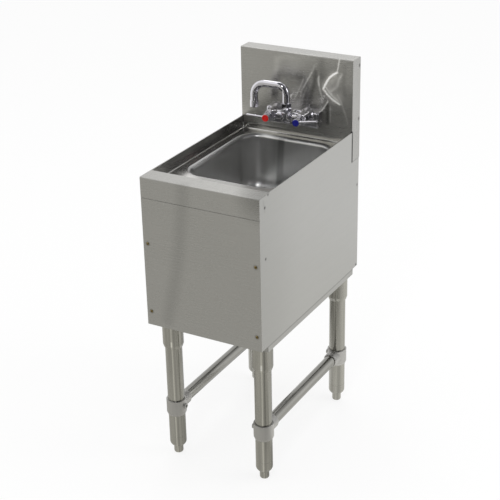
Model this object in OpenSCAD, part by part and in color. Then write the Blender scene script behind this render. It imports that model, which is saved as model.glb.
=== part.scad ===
// Underbar hand sink: a sheet-steel cabinet with a recessed deck and a drawn bowl, a splash
// with a two-handle swing-spout faucet, and four tube legs on adjustable feet.
// +Z is up, +X is to the user's right, and the front faces -Y. The floor is Z = 0.

/* [Cabinet] */
// Width across the side panels
body_w = 304.8; // [280:0.1:460]
// Depth of the side panels, front to back
body_d = 510.5; // [480:0.5:620]
// Height of the working rim above the floor
rim_z = 752.5; // [720:0.5:900]
// Height of the cabinet below the rim
body_h = 371.5; // [320:0.5:400]
// Thickness of the sheet steel
sheet = 1.2; // [0.9:0.1:1.6]
// Outer radius of the folded edges
bend_r = 2.4; // [1.8:0.1:4]
// Width of the inward flange on which each cabinet side stands
bottom_flange = 60; // [59:1:75]
// Width of the inward flanges at the front and rear of each side
edge_flange = 22; // [18:1:30]

/* [Front rim and panel] */
// Depth of the flat rim across the front
rim_flange = 46.5; // [30:0.5:70]
// Height of the apron below the front rim
apron_h = 49.8; // [42:0.1:80]
// Gap at the seam under the apron
seam = 0.8; // [0.2:0.1:1.5]
// Depth of the folded lips behind the apron and the panel
lip_d = 14; // [8:1:20]
// Distance of the panel screws from each side
screw_inset = 11.8; // [8:0.1:16]
// Height of the lower screws above the panel's bottom edge
screw_low = 35.6; // [20:0.1:80]
// Height of the upper screws above the panel's bottom edge
screw_high = 209.4; // [120:0.1:250]
// Radius of the screws' shanks
screw_r = 2; // [1.5:0.1:2.5]
// Radius of the screws' heads
screw_head_r = 3.8; // [3:0.1:5]
// Height of the screws' heads
screw_head_h = 1.8; // [1:0.1:3]
// Length of the screws' shanks
screw_l = 12; // [8:1:20]

/* [Deck and bowl] */
// Depth of the deck below the rim
deck_drop = 31; // [25:1:60]
// Radius of the cove where the deck turns up
cove_r = 3; // [2.5:0.5:12]
// Height of the deck's rear upturn
rear_upturn = 14.5; // [12:0.5:20]
// Width inside the bowl
bowl_w = 237; // [180:0.1:244]
// Length inside the bowl, front to back
bowl_l = 304; // [200:1:330]
// Depth of the bowl below the deck
bowl_depth = 152; // [110:1:180]
// Radius of the bowl's upright corners
corner_r = 42; // [40:1:70]
// Radius between the bowl's walls and floor
bottom_r = 38; // [20:1:39]
// Radius of the rolled edge between deck and bowl
roll_r = 10; // [6:1:14]
// Strip of deck between the bowl's rolled edge and the splash
back_ledge = 19; // [12:0.1:60]

/* [Splash] */
// Height of the splash above the rim
splash_h = 179.2; // [120:0.1:260]
// Depth of the splash box
splash_d = 43.2; // [40:0.1:60]
// How far the splash stands out behind the side panels
splash_overhang = 2.3; // [0:0.1:10]
// How far the splash's ends run down below the rim
return_drop = 77; // [60:1:120]
// Width of the slot between each side panel and the splash's end
slot_w = 2.6; // [1.5:0.1:5]
// Height of the turned-down edge at the back of the splash
back_lip = 25; // [15:1:40]

/* [Rear brace] */
// Height of the brace's web
brace_h = 50; // [30:1:80]
// Depth of the brace's lips
brace_d = 16; // [10:1:30]

/* [Legs] */
// Outer diameter of the leg tubes
leg_od = 41.3; // [35:0.1:48]
// Wall of the leg tubes
leg_wall = 1.5; // [1:0.1:2.5]
// Distance of the leg centres from the cabinet's sides
leg_inset_x = 30.4; // [30:0.1:32]
// Distance of the front leg centres from the front face
leg_inset_front = 56.6; // [40:0.1:90]
// Distance of the rear leg centres from the back of the side panels
leg_inset_rear = 50.5; // [36:0.5:80]
// Height of the channels above the legs
channel_h = 19.5; // [17:0.5:30]
// Width of the channels above the legs
channel_w = 54; // [50:1:56]
// Thickness of the channels
channel_t = 2; // [1.5:0.1:3]
// How far the channels run past the front leg centres
channel_front = 20; // [18:1:36]
// How far the channels run past the rear leg centres
channel_rear = 32; // [22:1:36]
// Outer diameter of the leg sockets
socket_od = 50.5; // [49:0.5:60]
// Height of the leg sockets
socket_h = 59.5; // [40:0.5:70]
// Height of the sockets' tapered lower edge
socket_taper = 9; // [5:1:18]
// Thickness of the sockets' closed tops
socket_top = 5; // [3:0.5:8]
// Radial gap of sliding and threaded fits
fit_gap = 0.08; // [0.05:0.01:0.1]
// Radius of the bolts that hold the sockets
bolt_r = 5; // [4:0.5:6]

/* [Feet] */
// Radius of the foot below the leg
foot_r = 11.5; // [9:0.1:13]
// Height of the foot below the leg's rounded end
foot_h = 22; // [15:0.5:45]
// Radius round the bottom of the foot
foot_edge_r = 5; // [2:0.5:7]
// Height of the rounded end under each leg
end_h = 29; // [18:0.5:36]
// Radius of the rounded end where the foot leaves it
end_r = 13.2; // [13.1:0.1:16]
// Radius of the rounded end's shoulder
shoulder_r = 14; // [9:0.5:16]
// Length of the insert inside the leg
insert_l = 32; // [25:1:50]
// Radius of the foot's threaded stem
stem_r = 8; // [6:0.1:8.5]
// Length of the foot's threaded stem
stem_l = 78; // [60:1:120]

/* [Side rails] */
// Outer diameter of the side rails
rail_od = 30; // [25:0.5:32]
// Wall of the side rails
rail_wall = 1.5; // [1:0.1:2.5]
// Height of the side rails above the floor
rail_z = 137.5; // [120:0.5:250]
// Outer diameter of the tee's collar
tee_od = 49; // [46:0.5:54]
// Height of the tee's collar
tee_h = 43; // [38:0.5:50]
// How far the collar's middle lies below the rail
tee_drop = 3; // [0:0.5:4]
// Wall of the tee's branch
branch_wall = 3.4; // [3:0.1:5]
// Reach of the tee's branch from the leg's centre
branch_l = 44; // [38:1:60]
// Radius of the set screws
set_screw_r = 4; // [3:0.5:5]
// Length of the set screws
set_screw_l = 6; // [5.5:0.5:8]

/* [Faucet] */
// Distance between the supply shanks
shank_pitch = 101.6; // [95:0.1:110]
// Radius of the supply shanks
shank_r = 10.48; // [9:0.01:12]
// Length of the supply shanks behind the splash face
shank_l = 38; // [30:1:40]
// How far the shanks' clamped length stands proud of their free ends
shank_step = 0.6; // [0.4:0.1:1]
// Height of the faucet's base centre above the rim
faucet_lift = 23.5; // [22:0.5:60]
// How far the faucet's base runs past each supply shank
base_end = 20.7; // [18:0.1:30]
// Height of the faucet's base
base_h = 41; // [36:0.5:60]
// Depth of the faucet's base
base_d = 22.4; // [18:0.1:30]
// Radius of the base's edges and corners
base_edge = 5; // [3:0.5:10]
// Distance between the valve axes
valve_pitch = 82.6; // [75:0.1:100]
// Height of the valves above the base's centre
valve_lift = 10.5; // [4:0.5:14]
// Radius of the valve barrels
barrel_r = 15; // [13:0.5:17]
// Length of the valve barrels in front of the base
barrel_l = 36.8; // [30:0.1:42]
// Width across the flats of the bonnet nuts
bonnet_af = 24; // [20:0.5:28]
// Length of the bonnet nuts
bonnet_l = 11; // [8:0.5:15]
// Radius of the valve stems
valve_stem_r = 4; // [3:0.1:5]
// Radius of the handle hubs
hub_r = 9.3; // [8:0.1:12]
// Length of the handle hubs
hub_l = 12.4; // [10:0.1:18]
// Reach of the levers from their axes
lever_l = 56; // [40:1:75]
// Height of the levers
lever_h = 6.4; // [5:0.1:10]
// Angle of the cold lever above level, as it is left
cold_lift_angle = 10; // [0:1:12]
// Radius of the index buttons
button_r = 8.6; // [7:0.1:9.2]
// Thickness of the index buttons
button_t = 1.5; // [1:0.1:3]

/* [Spout] */
// Distance from the splash face to the spout's riser
riser_out = 52; // [45:1:60]
// Height of the spout's seat above the valves
seat_lift = 15; // [14:0.5:24]
// How far the hub's round lower end is centred below the valves
hub_drop = 3; // [0:0.5:10]
// Outer radius of the spout tube
spout_r = 9.1; // [8:0.1:9.5]
// Wall of the spout tube
spout_wall = 1.2; // [0.8:0.1:2]
// Radius of the bend over the riser, at the centre line
riser_bend = 21; // [16:1:32]
// Radius of the bend over the outlet, at the centre line
outlet_bend = 32; // [20:1:36]
// Reach of the spout
spout_reach = 88; // [75:1:150]
// Height of the spout's arm above the valves
arm_lift = 77; // [75:1:140]
// Height of the outlet's mouth above the valves
mouth_lift = 14; // [14:1:60]
// Radius of the outlet
outlet_r = 10.5; // [10.4:0.1:13]
// Height of the outlet
outlet_h = 18; // [12:1:24]
// Width across the flats of the spout nut
nut_af = 24; // [24:0.5:32]
// Height of the spout nut
nut_h = 21; // [18:1:28]

/* [Drain] */
// Depth of the drain's recess in the bowl floor
recess_drop = 2.5; // [2:0.1:5]
// Radius of the drain's recess
recess_r = 41; // [38:0.5:50]
// Radius of the drain's flange
flange_r = 36.5; // [34:0.5:37]
// Outer radius of the drain's threaded tube
drain_r = 24; // [22:0.1:26]
// Inner radius of the drain's threaded tube
drain_bore_r = 20.5; // [19:0.1:21]
// Length of the drain's threaded tube
drain_l = 48; // [40:1:70]
// Radius of the strainer
strainer_r = 28.7; // [26:0.1:30]
// Outer radius of the tailpiece
tail_r = 19.05; // [15:0.01:20]
// Length of the tailpiece
tail_l = 101.6; // [60:0.1:110]

/* [Hidden] */
$fn = 48;
cut = 1; // overshoot of cutting tools

// Depths are measured from the front face, and the whole part is then centred front to back.
overall_d = screw_head_h + body_d + splash_overhang;
front_y = screw_head_h - overall_d / 2;

half_w = body_w / 2;
bottom_z = rim_z - body_h;
apron_z = rim_z - apron_h;
splash_y = body_d + splash_overhang - splash_d;
splash_back = body_d + splash_overhang;
splash_top = rim_z + splash_h;
return_z = rim_z - return_drop;
deck_z = rim_z - deck_drop;
upturn_z = deck_z + rear_upturn;
lap = 10; // overlap of the splash behind the deck's upturn

bowl_half_w = bowl_w / 2;
bowl_half_l = bowl_l / 2;
bowl_y = splash_y - back_ledge - roll_r - bowl_half_l;
bowl_floor_z = deck_z - bowl_depth;
recess_z = bowl_floor_z - recess_drop;

leg_r = leg_od / 2;
leg_x = half_w - leg_inset_x;
leg_front_y = leg_inset_front;
leg_rear_y = body_d - leg_inset_rear;
channel_z = bottom_z - channel_h;
socket_z = channel_z - socket_h;
leg_bottom_z = foot_h + end_h;
end_core = leg_r - shoulder_r;
shoulder_h = sqrt(pow(shoulder_r, 2) - pow(end_r - end_core, 2)); // height of the rounding itself
bolt_head_h = 6;
leg_top_z = channel_z - socket_top - bolt_head_h - 2;
bolt_nut_h = 8;

rail_r = rail_od / 2;
tee_z = rail_z - tee_drop;
branch_r = rail_r + branch_wall;
set_screw_reach = leg_r + fit_gap + 0.1; // where the set screws' points lie, from the leg's axis
boss_r = set_screw_r + 3;
boss_z = tee_z + 4;
boss_h = 4; // how far the set screws' bosses stand out from the collars
collar_taper = 7; // height of the collar's tapered lower edge

base_z = rim_z + faucet_lift;
base_w = shank_pitch + 2 * base_end;
valve_z = base_z + valve_lift;
valve_x = valve_pitch / 2;
base_y = splash_y - base_d;
barrel_y = base_y - barrel_l;
bonnet_y = barrel_y - bonnet_l;
hub_gap = 0.4;
hub_y = bonnet_y - hub_gap - hub_l;
lever_y = hub_y + hub_l * 0.52;
button_y = hub_y - button_t;
valve_bore_r = barrel_r - 6;
valve_bore_l = barrel_l - 6;
stem_disc_t = 5;
shank_sunk = 12;
washer_t = 1.6;
shank_nut_t = 6;
nut_back = splash_y + sheet + washer_t + shank_nut_t;
clamp_r = shank_r + shank_step;

riser_y = splash_y - riser_out;
hub_top_z = valve_z + seat_lift;
nut_top_z = hub_top_z + nut_h;
spigot_wall = 1.4;
spigot_r = spout_r + spigot_wall;
spigot_h = 7;
collar_t = 3;
collar_z = hub_top_z + spigot_h + 0.3;
nut_lip = 4;
arm_z = valve_z + arm_lift;
mouth_z = valve_z + mouth_lift;
mouth_seat = 4; // how far above its mouth the outlet's seat for the tube lies
spout_tail = 14; // length of the spout tube inside the hub
spout_tail_z = hub_top_z - spout_tail;

strainer_z = 0.7; // height of the strainer's seat above the flange's underside
strainer_t = 1.4;
spider_z = -14; // height of the bars' underside
spider_h = 6;
strainer_screw_r = 1.55;
thread_play = 0.05;
gasket_t = 3;
locknut_t = 7;
drain_end_z = recess_z - drain_l;
tail_lip_t = 2;
tail_swage = 0.6; // how far the tailpiece's upper end stands proud, under the nut
tail_swage_l = 12;
tail_nut_h = 22;

// A box between two corners.
module block(lo, hi) {
    translate(lo) cube(hi - lo);
}

// Puts a child drawn for the right-hand side on either side.
module on_side(side) {
    if (side > 0) children();
    else mirror([1, 0, 0]) children();
}

// Moves depths measured from the front face into the part's own frame.
module placed() {
    translate([0, front_y, 0]) children();
}

// Extrudes a section drawn in depth and height along X, centred.
module along_x(length) {
    translate([-length / 2, 0, 0]) rotate([90, 0, 90]) linear_extrude(length) children();
}

// Extrudes a section drawn in width and height along Y, from y0 to y1.
module along_y(y0, y1) {
    translate([0, y1, 0]) rotate([90, 0, 0]) linear_extrude(y1 - y0) children();
}

// A rod along Y from y0 to y1.
module rod_y(x, z, r, y0, y1, sides = 48) {
    translate([x, y1, z]) rotate([90, 0, 0]) cylinder(r = r, h = y1 - y0, $fn = sides);
}

// A rectangle whose upper corners can be rounded.
module round_top(lo, hi, r_left, r_right) {
    r_most = max(r_left, r_right);
    translate(lo) square([hi[0] - lo[0], hi[1] - lo[1] - r_most]);
    translate([lo[0] + r_left, lo[1]]) square([hi[0] - lo[0] - r_left - r_right, hi[1] - lo[1]]);
    if (r_left > 0) translate([lo[0] + r_left, hi[1] - r_left]) circle(r_left);
    if (r_right > 0) translate([hi[0] - r_right, hi[1] - r_right]) circle(r_right);
}

// A rectangle with rounded lower corners, for the coved deck.
module round_bottom(lo, hi, r) {
    translate([lo[0], lo[1] + r]) square([hi[0] - lo[0], hi[1] - lo[1] - r]);
    translate([lo[0] + r, lo[1]]) square([hi[0] - lo[0] - 2 * r, r]);
    translate([lo[0] + r, lo[1] + r]) circle(r);
    translate([hi[0] - r, lo[1] + r]) circle(r);
}

// A rectangle with four rounded corners, centred.
module round_rect(w, h, r) {
    square([w - 2 * r, h], center = true);
    square([w, h - 2 * r], center = true);
    for (sx = [-1, 1], sy = [-1, 1]) translate([sx * (w / 2 - r), sy * (h / 2 - r)]) circle(r);
}

// A flat ring about Z.
module ring(r_in, r_out, z0, z1) {
    difference() {
        translate([0, 0, z0]) cylinder(r = r_out, h = z1 - z0);
        translate([0, 0, z0 - cut]) cylinder(r = r_in, h = z1 - z0 + 2 * cut);
    }
}

// A hexagonal nut blank with its corners chamfered top and bottom.
module hex_blank(flats, h) {
    corner = flats / sqrt(3);
    chamfer = corner - flats / 2;
    intersection() {
        cylinder(r = corner, h = h, $fn = 6);
        rotate_extrude() polygon([
            [0, 0], [flats / 2, 0], [corner, chamfer / 2], [corner, h - chamfer / 2], [flats / 2, h], [0, h]
        ]);
    }
}

// The four front panel screws' places.
module at_screws() {
    for (sx = [-1, 1], dz = [screw_low, screw_high])
        translate([sx * (half_w - screw_inset), 0, bottom_z + dz]) children();
}

module side_panel(side) {
    color("silver") placed() on_side(side) {
        translate([half_w - sheet, 0, 0]) rotate([90, 0, 90]) linear_extrude(sheet) polygon([
            [sheet, bottom_z], [body_d, bottom_z], [body_d, return_z], [splash_y, return_z],
            [splash_y, rim_z], [rim_flange, rim_z], [rim_flange, rim_z - sheet], [sheet, rim_z - sheet]
        ]);
        difference() {
            block([half_w - edge_flange, sheet, bottom_z + sheet],
                  [half_w - sheet / 2, 2 * sheet, apron_z - seam - sheet]);
            for (dz = [screw_low, screw_high])
                rod_y(half_w - screw_inset, bottom_z + dz, screw_r + fit_gap, 0, 3 * sheet);
        }
        block([half_w - bottom_flange, sheet, bottom_z], [half_w - sheet / 2, body_d, bottom_z + sheet]);
        block([half_w - edge_flange, body_d - sheet, bottom_z + sheet / 2],
              [half_w - sheet / 2, body_d, return_z]);
    }
}

module front_apron() {
    color("silver") placed() {
        along_x(body_w) difference() {
            round_top([0, apron_z], [rim_flange, rim_z], bend_r, 0);
            round_top([sheet, apron_z - cut], [rim_flange + cut, rim_z - sheet], bend_r - sheet, 0);
        }
        block([sheet - half_w, sheet / 2, apron_z], [half_w - sheet, lip_d, apron_z + sheet]);
    }
}

module front_panel() {
    inner = half_w - edge_flange - 1;
    floor_lip = half_w - bottom_flange - 1;
    color("silver") placed() {
        difference() {
            block([-half_w, 0, bottom_z], [half_w, sheet, apron_z - seam]);
            at_screws() rod_y(0, 0, screw_r + fit_gap, -cut, sheet + cut);
        }
        block([-inner, sheet / 2, apron_z - seam - sheet], [inner, lip_d, apron_z - seam]);
        block([-floor_lip, sheet / 2, bottom_z], [floor_lip, lip_d, bottom_z + sheet]);
    }
}

module front_panel_screws() {
    dome_r = (screw_head_r * screw_head_r + screw_head_h * screw_head_h) / (2 * screw_head_h);
    color("darkgoldenrod") placed() at_screws() rotate([90, 0, 0]) {
        intersection() {
            translate([0, 0, screw_head_h - dome_r]) sphere(dome_r);
            cylinder(r = screw_head_r, h = screw_head_h + cut);
        }
        translate([0, 0, -screw_l]) cylinder(r = screw_r, h = screw_l);
    }
}

// The solid that fills the deck's tray, up to the rim.
module tray(x_half, y0, y1, z0, r) {
    intersection() {
        along_y(y0, y1) round_bottom([-x_half, z0], [x_half, rim_z + cut], r);
        along_x(2 * x_half) round_bottom([y0, z0], [y1, rim_z + cut], r);
    }
}

module deck_pan() {
    color("silver") placed() difference() {
        tray(half_w - sheet, rim_flange - sheet, splash_y + sheet, deck_z - sheet, cove_r + sheet);
        tray(half_w - 2 * sheet, rim_flange, splash_y, deck_z, cove_r);
        block([-half_w, 0, rim_z], [half_w, body_d, rim_z + 2 * cut]);
        block([-half_w, 0, rim_z - sheet], [half_w, rim_flange, rim_z + cut]);
        block([-half_w, splash_y, upturn_z], [half_w, body_d, rim_z + cut]);
        translate([0, bowl_y, deck_z - cove_r]) linear_extrude(2 * cove_r)
            round_rect(bowl_w + 2 * roll_r, bowl_l + 2 * roll_r, corner_r + roll_r);
    }
}

// Half section of the bowl about an upright corner's axis, with its wall moved out by grow.
module bowl_section(grow) {
    wall = corner_r + grow;
    fillet = bottom_r + grow;
    floor_h = -bowl_depth - grow;
    translate([0, floor_h + fillet]) square([wall, -roll_r - floor_h - fillet]);
    translate([0, floor_h]) square([wall - fillet, fillet]);
    intersection() {
        translate([wall - fillet, floor_h + fillet]) circle(fillet);
        translate([0, floor_h]) square([wall, fillet]);
    }
    difference() {
        translate([0, -roll_r]) square([corner_r + roll_r, roll_r]);
        translate([corner_r + roll_r, -roll_r]) circle(roll_r - grow);
    }
}

module bowl_shell_section() {
    difference() {
        bowl_section(sheet);
        bowl_section(0);
    }
}

module sink_bowl() {
    cx = bowl_half_w - corner_r;
    cy = bowl_half_l - corner_r;
    color("darkgray") placed() translate([0, bowl_y, deck_z]) {
        for (k = [0:3]) {
            sx = (k == 0 || k == 3) ? 1 : -1;
            sy = k < 2 ? 1 : -1;
            translate([sx * cx, sy * cy, 0]) rotate(90 * k)
                rotate_extrude(angle = 90) bowl_shell_section();
        }
        for (s = [0, 180]) rotate(s) translate([cx, cy, 0]) rotate([90, 0, 0])
            linear_extrude(2 * cy) bowl_shell_section();
        for (s = [90, 270]) rotate(s) translate([cy, cx, 0]) rotate([90, 0, 0])
            linear_extrude(2 * cx) bowl_shell_section();
        difference() {
            block([-cx, -cy, -bowl_depth - sheet], [cx, cy, -bowl_depth]);
            translate([0, 0, -bowl_depth - sheet - cut]) cylinder(r = recess_r, h = sheet + 2 * cut);
        }
        translate([0, 0, -bowl_depth]) rotate_extrude() polygon([
            [drain_r + 1, -recess_drop], [recess_r - recess_drop, -recess_drop], [recess_r, 0],
            [recess_r, -sheet], [recess_r - recess_drop + sheet / 2, -recess_drop - sheet],
            [drain_r + 1, -recess_drop - sheet]
        ]);
    }
}

module backsplash() {
    color("gainsboro") placed() {
        difference() {
            union() {
                along_x(body_w) difference() {
                    round_top([splash_y, upturn_z], [splash_back, splash_top], bend_r, bend_r);
                    round_top([splash_y + sheet, upturn_z - cut], [splash_back - sheet, splash_top - sheet],
                              bend_r - sheet, bend_r - sheet);
                    translate([splash_back - sheet - cut, upturn_z - cut])
                        square([sheet + 2 * cut, splash_top - back_lip - upturn_z + cut]);
                }
                along_x(body_w - 4 * sheet) polygon([
                    [splash_y + sheet, upturn_z - lap], [splash_y + 2 * sheet, upturn_z - lap],
                    [splash_y + 2 * sheet, upturn_z + lap], [splash_y + sheet / 2, upturn_z + lap],
                    [splash_y + sheet / 2, upturn_z], [splash_y + sheet, upturn_z]
                ]);
            }
            for (s = [-1, 1])
                rod_y(s * shank_pitch / 2, base_z, clamp_r + 0.8, splash_y - cut, splash_y + 3 * sheet);
        }
        for (s = [-1, 1]) on_side(s) {
            translate([half_w - sheet, 0, 0]) rotate([90, 0, 90]) linear_extrude(sheet) {
                round_top([splash_y, upturn_z], [splash_back, splash_top], bend_r, bend_r);
                translate([splash_y + slot_w, return_z + seam])
                    square([splash_d - slot_w, upturn_z - return_z]);
            }
            block([half_w - edge_flange, splash_back - sheet, return_z + seam],
                  [half_w - sheet / 2, splash_back, splash_top - back_lip + sheet]);
        }
    }
}

module rear_brace() {
    web_y = body_d - 2 * sheet;
    low = bottom_z + 3 * sheet;
    reach = half_w - sheet;
    color("gray") placed() {
        block([-reach, web_y, low], [reach, web_y + sheet, low + brace_h]);
        for (z = [low, low + brace_h - sheet])
            block([-reach, web_y - brace_d, z], [reach, web_y + sheet / 2, z + sheet]);
    }
}

// A channel closed at both ends, open at the top where the cabinet stands on it.
module leg_channel(side) {
    half = channel_w / 2;
    inside = half - channel_t;
    y0 = leg_front_y - channel_front;
    y1 = leg_rear_y + channel_rear;
    color("darkgray") placed() on_side(side) difference() {
        block([leg_x - half, y0, channel_z], [leg_x + half, y1, bottom_z]);
        block([leg_x - inside, y0 + channel_t, channel_z + channel_t],
              [leg_x + inside, y1 - channel_t, bottom_z + cut]);
        for (y = [leg_front_y, leg_rear_y])
            translate([leg_x, y, channel_z - cut]) cylinder(r = bolt_r + 0.3, h = channel_t + 2 * cut);
    }
}

module leg_socket(side, y) {
    r_out = socket_od / 2;
    color("darkgray") placed() on_side(side) translate([leg_x, y, socket_z]) difference() {
        rotate_extrude() polygon([
            [0, 0], [leg_r + 1.6, 0], [leg_r + 2.2, 1], [r_out, socket_taper], [r_out, socket_h], [0, socket_h]
        ]);
        translate([0, 0, -cut]) cylinder(r = leg_r + fit_gap, h = socket_h - socket_top + cut);
        cylinder(r = bolt_r + 0.3, h = socket_h + cut);
        translate([0, r_out + cut, socket_h / 2]) rotate([90, 0, 0])
            cylinder(r = set_screw_r + fit_gap, h = r_out);
    }
}

module socket_bolts() {
    color("dimgray") placed() for (s = [-1, 1], y = [leg_front_y, leg_rear_y]) translate([s * leg_x, y, 0]) {
        head_z = channel_z - socket_top - bolt_head_h;
        translate([0, 0, head_z]) hex_blank(3.4 * bolt_r, bolt_head_h);
        translate([0, 0, head_z + bolt_head_h])
            cylinder(r = bolt_r, h = socket_top + channel_t + bolt_nut_h + 2);
        difference() {
            translate([0, 0, channel_z + channel_t]) hex_blank(3.4 * bolt_r, bolt_nut_h);
            translate([0, 0, channel_z]) cylinder(r = bolt_r, h = channel_h);
        }
    }
}

module leg_tube(side, y) {
    color("silver") placed() translate([side * leg_x, y, 0])
        ring(leg_r - leg_wall, leg_r, leg_bottom_z, leg_top_z);
}

module foot_insert(side, y) {
    plug_r = leg_r - leg_wall - fit_gap;
    color("darkgray") placed() translate([side * leg_x, y, foot_h]) difference() {
        union() {
            rotate_extrude() {
                square([end_r, shoulder_h]);
                intersection() {
                    translate([end_core, shoulder_h]) circle(shoulder_r);
                    square([leg_r, shoulder_h]);
                }
                translate([0, shoulder_h]) square([leg_r, end_h - shoulder_h]);
            }
            translate([0, 0, end_h]) cylinder(r = plug_r, h = insert_l);
        }
        translate([0, 0, -cut]) cylinder(r = stem_r + fit_gap, h = end_h + insert_l + 2 * cut);
    }
}

module bullet_foot(side, y) {
    color("darkgray") placed() translate([side * leg_x, y, 0]) {
        rotate_extrude() {
            translate([0, foot_edge_r]) square([foot_r, foot_h - foot_edge_r]);
            square([foot_r - foot_edge_r, foot_h]);
            intersection() {
                translate([foot_r - foot_edge_r, foot_edge_r]) circle(foot_edge_r);
                square([foot_r, foot_edge_r]);
            }
        }
        translate([0, 0, foot_h]) cylinder(r = stem_r, h = stem_l);
    }
}

// A cast tee on one leg: a collar round the leg and a branch towards the other leg.
module rail_tee(side, y, toward) {
    collar_r = tee_od / 2;
    z0 = tee_z - tee_h / 2;
    color("darkgray") placed() on_side(side) translate([leg_x, y, 0]) difference() {
        union() {
            translate([0, 0, z0]) rotate_extrude() polygon([
                [0, 0], [leg_r + 1, 0], [collar_r, collar_taper], [collar_r, tee_h - 1], [collar_r - 1, tee_h],
                [0, tee_h]
            ]);
            translate([0, 0, rail_z]) rotate([-90 * toward, 0, 0]) rotate_extrude() polygon([
                [0, 0], [branch_r, 0], [branch_r, branch_l - 4], [branch_r - 1.6, branch_l], [0, branch_l]
            ]);
            translate([-collar_r - boss_h, 0, boss_z]) rotate([0, 90, 0]) cylinder(r = boss_r, h = collar_r);
        }
        translate([0, 0, min(z0, rail_z - branch_r) - cut])
            cylinder(r = leg_r + fit_gap, h = tee_h + 2 * branch_r);
        translate([0, 0, rail_z]) rotate([-90 * toward, 0, 0])
            cylinder(r = rail_r + fit_gap, h = branch_l + cut);
        translate([-collar_r - boss_h - cut, 0, boss_z]) rotate([0, 90, 0])
            cylinder(r = set_screw_r + fit_gap, h = collar_r);
    }
}

module side_rail(side) {
    inset = leg_r + 1;
    color("silver") placed() translate([side * leg_x, 0, rail_z]) difference() {
        rod_y(0, 0, rail_r, leg_front_y + inset, leg_rear_y - inset);
        rod_y(0, 0, rail_r - rail_wall, leg_front_y, leg_rear_y);
    }
}

// A set screw whose hexagon socket is at its start and whose point is at its end.
module set_screw() {
    difference() {
        cylinder(r = set_screw_r, h = set_screw_l);
        translate([0, 0, -cut]) cylinder(r = set_screw_r / 2, h = set_screw_l / 2 + cut, $fn = 6);
    }
}

// The sockets' screws sit at the back of each leg, those of the tees on its inner side.
module set_screws() {
    reach = set_screw_reach + set_screw_l;
    color("dimgray") placed() for (s = [-1, 1], y = [leg_front_y, leg_rear_y]) on_side(s) {
        translate([leg_x, y + reach, socket_z + socket_h / 2]) rotate([90, 0, 0]) set_screw();
        translate([leg_x - reach, y, boss_z]) rotate([0, 90, 0]) set_screw();
    }
}

// A block with all its front edges and corners rounded, its back on Y = 0 and its front facing -Y.
module cushion_block(w, h, d, r) {
    rotate([90, 0, 0]) {
        linear_extrude(d - r) round_rect(w, h, r);
        linear_extrude(d) square([w - 2 * r, h - 2 * r], center = true);
        for (s = [-1, 1]) {
            translate([r - w / 2, s * (h / 2 - r), d - r]) rotate([0, 90, 0]) cylinder(r = r, h = w - 2 * r);
            translate([s * (w / 2 - r), h / 2 - r, d - r]) rotate([90, 0, 0]) cylinder(r = r, h = h - 2 * r);
            for (t = [-1, 1]) translate([s * (w / 2 - r), t * (h / 2 - r), d - r]) sphere(r);
        }
    }
}

module faucet_body() {
    color("gainsboro") placed() difference() {
        union() {
            translate([0, splash_y, base_z]) cushion_block(base_w, base_h, base_d, base_edge);
            for (s = [-1, 1]) translate([s * valve_x, base_y + 6, valve_z]) rotate([90, 0, 0]) {
                cylinder(r1 = barrel_r + 5, r2 = barrel_r, h = 12);
                cylinder(r = barrel_r, h = barrel_l + 6);
            }
            translate([-valve_x, riser_y + 12, valve_z]) rotate([0, 90, 0])
                cylinder(r = barrel_r - 3, h = valve_pitch);
            rod_y(0, valve_z, barrel_r - 2, riser_y, base_y + 4);
            translate([0, riser_y, valve_z - hub_drop]) {
                cylinder(r = barrel_r - 1, h = seat_lift + hub_drop);
                sphere(barrel_r - 1);
            }
            translate([0, riser_y, hub_top_z]) cylinder(r = spigot_r, h = spigot_h);
        }
        translate([0, riser_y, spout_tail_z - 2]) cylinder(r = spout_r + fit_gap, h = hub_top_z);
        for (s = [-1, 1]) {
            rod_y(s * valve_x, valve_z, valve_bore_r, barrel_y - cut, barrel_y + valve_bore_l);
            rod_y(s * shank_pitch / 2, base_z, clamp_r + fit_gap, splash_y - shank_sunk, splash_y + cut);
        }
    }
}

module faucet_shanks() {
    color("goldenrod") placed() for (s = [-1, 1]) difference() {
        union() {
            rod_y(s * shank_pitch / 2, base_z, clamp_r, splash_y - shank_sunk, nut_back);
            rod_y(s * shank_pitch / 2, base_z, shank_r, nut_back, splash_y + shank_l);
        }
        rod_y(s * shank_pitch / 2, base_z, shank_r - 3, splash_y - shank_sunk - cut, splash_y + shank_l + cut);
    }
}

module shank_washers() {
    y = splash_y + sheet;
    color("silver") placed() for (s = [-1, 1]) difference() {
        rod_y(s * shank_pitch / 2, base_z, clamp_r + 7, y, y + washer_t);
        rod_y(s * shank_pitch / 2, base_z, clamp_r + 0.3, y - cut, y + washer_t + cut);
    }
}

module shank_locknuts() {
    color("goldenrod") placed() for (s = [-1, 1]) translate([s * shank_pitch / 2, nut_back, base_z])
        rotate([90, 0, 0]) difference() {
            hex_blank(2 * clamp_r + 10, shank_nut_t);
            translate([0, 0, -cut]) cylinder(r = clamp_r, h = shank_nut_t + 2 * cut);
        }
}

module bonnet(side) {
    color("gainsboro") placed() translate([side * valve_x, barrel_y, valve_z]) rotate([90, 0, 0]) difference() {
        union() {
            hex_blank(bonnet_af, bonnet_l - 3);
            cylinder(r = bonnet_af / 2 - 3, h = bonnet_l);
            translate([0, 0, -10]) cylinder(r = valve_bore_r - fit_gap, h = 10);
        }
        translate([0, 0, -10 - cut]) cylinder(r = valve_stem_r + fit_gap, h = bonnet_l + 10 + 2 * cut);
    }
}

module valve_stem(side) {
    tip = hub_y + 5;
    color("goldenrod") placed() translate([side * valve_x, 0, valve_z]) difference() {
        union() {
            rod_y(0, 0, valve_stem_r, tip, barrel_y + valve_bore_l - 6);
            rod_y(0, 0, valve_bore_r - 0.6, barrel_y + 12, barrel_y + 12 + stem_disc_t);
        }
        rod_y(0, 0, 2.05, tip - cut, tip + 10);
    }
}

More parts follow.
